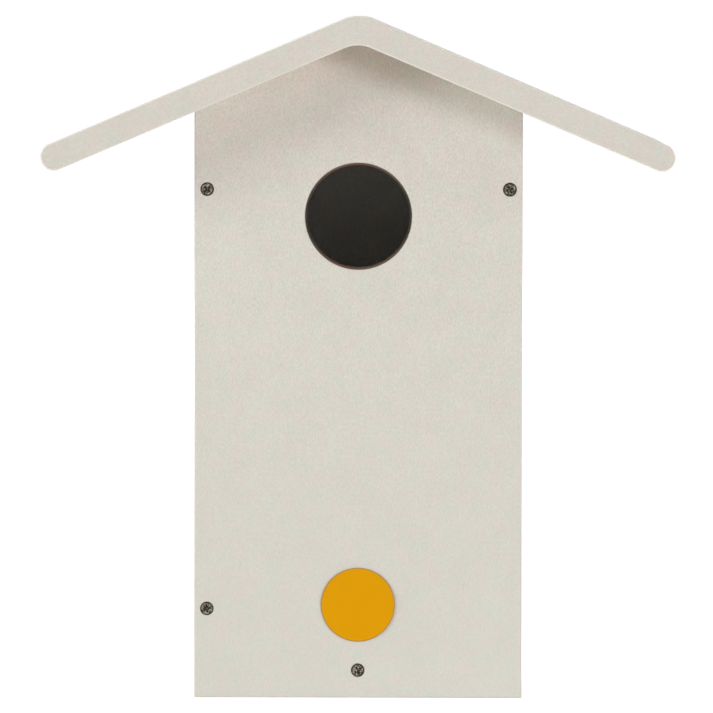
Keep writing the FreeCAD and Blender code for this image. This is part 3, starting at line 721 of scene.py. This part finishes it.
add(tree, "ShaderNodeOutputMaterial", lit)
floor.data.materials.append(paper)
tree = world.node_tree
ambient = add(tree, "ShaderNodeBackground", SKY_GLOW_TINT, SKY_GLOW)
backdrop = add(tree, "ShaderNodeBackground", WHITE, 1.0)
sky = add(tree, "ShaderNodeMixShader", direct[tree], ambient, backdrop)
add(tree, "ShaderNodeOutputWorld", sky)

# Lamps: name, turn from the front towards the right in degrees, height in degrees, size in
# metres, power in watts, colour
AIM = Vector((0.0, -0.04, 0.15))
LAMP_REACH = 4.0
LAMPS = [
    ("key_right", 28.0, 5.0, 1.1, 55.3, (0.98, 0.945, 1.0)),
    ("fill_left", -50.0, 12.0, 1.6, 55.9, (0.91, 0.985, 1.0)),
    ("side_left", -80.0, 22.0, 1.6, 38.6, (1.0, 0.945, 0.87)),
    ("side_right", 60.0, 12.0, 1.6, 15.5, (0.86, 1.0, 0.86)),
    ("rim_right", 105.0, 20.0, 1.6, 32.0, (1.0, 0.98, 0.96)),
    ("top_left", -90.0, 60.0, 2.0, 6.0, (1.0, 0.92, 0.9)),
    ("top_right", 90.0, 60.0, 2.0, 6.0, (1.0, 0.92, 0.9)),
    ("back_left", -150.0, 30.0, 2.0, 28.0, (1.0, 0.97, 0.95)),
    ("back_right", 150.0, 30.0, 2.0, 28.0, (1.0, 0.97, 0.95)),
]
for name, turn, height, width, power, tint in LAMPS:
    lamp = bpy.data.lights.new(name, "AREA")
    lamp.shape = "DISK"
    lamp.size = width
    lamp.energy = power
    lamp.color = tint
    turn, height = math.radians(turn), math.radians(height)
    across = math.cos(height)
    towards = Vector((math.sin(turn) * across, -math.cos(turn) * across, math.sin(height)))
    holder = bpy.data.objects.new(name, lamp)
    holder.location = AIM + towards * LAMP_REACH
    holder.rotation_euler = towards.to_track_quat("Z", "Y").to_euler()
    bpy.context.scene.collection.objects.link(holder)


# Camera. A long lens, level with the box's ridge and a little to its right, as the visible faces in
# the photograph say: no underside of the roof on the left, and a thread of its top on the right.

# Where the front's face lies, how far in front of it the eye is, the eye itself, the camera's
# turns, and its focal length in pixels of the photograph
FRONT_FACE = -0.04175
EYE_REACH = 2.8
EYE = Vector((0.022, FRONT_FACE - EYE_REACH, 0.2526))
TILT = math.radians(-2.5706)
YAW = math.radians(-0.4636)
ROLL = math.radians(0.0941)
FOCAL_PIXELS = 7557.1
FRAME_PIXELS = 713
SENSOR = 36.0
FAR_CLIP = 100.0
camera_data = bpy.data.cameras.new("camera")
camera_data.sensor_width = SENSOR
camera_data.lens = FOCAL_PIXELS * SENSOR / FRAME_PIXELS
camera_data.clip_end = FAR_CLIP
camera = bpy.data.objects.new("camera", camera_data)
across = math.cos(TILT)
ahead = Vector((math.sin(YAW) * across, math.cos(YAW) * across, math.sin(TILT)))
right = Vector((math.cos(YAW), -math.sin(YAW), 0.0))
up = right.cross(ahead)
leaned_right = math.cos(ROLL) * right + math.sin(ROLL) * up
leaned_up = math.cos(ROLL) * up - math.sin(ROLL) * right
axes = Matrix((leaned_right, leaned_up, -ahead)).transposed().to_4x4()
camera.matrix_world = Matrix.Translation(EYE) @ axes
bpy.context.scene.collection.objects.link(camera)
bpy.context.scene.camera = camera
bpy.context.scene.view_settings.view_transform = "Standard"
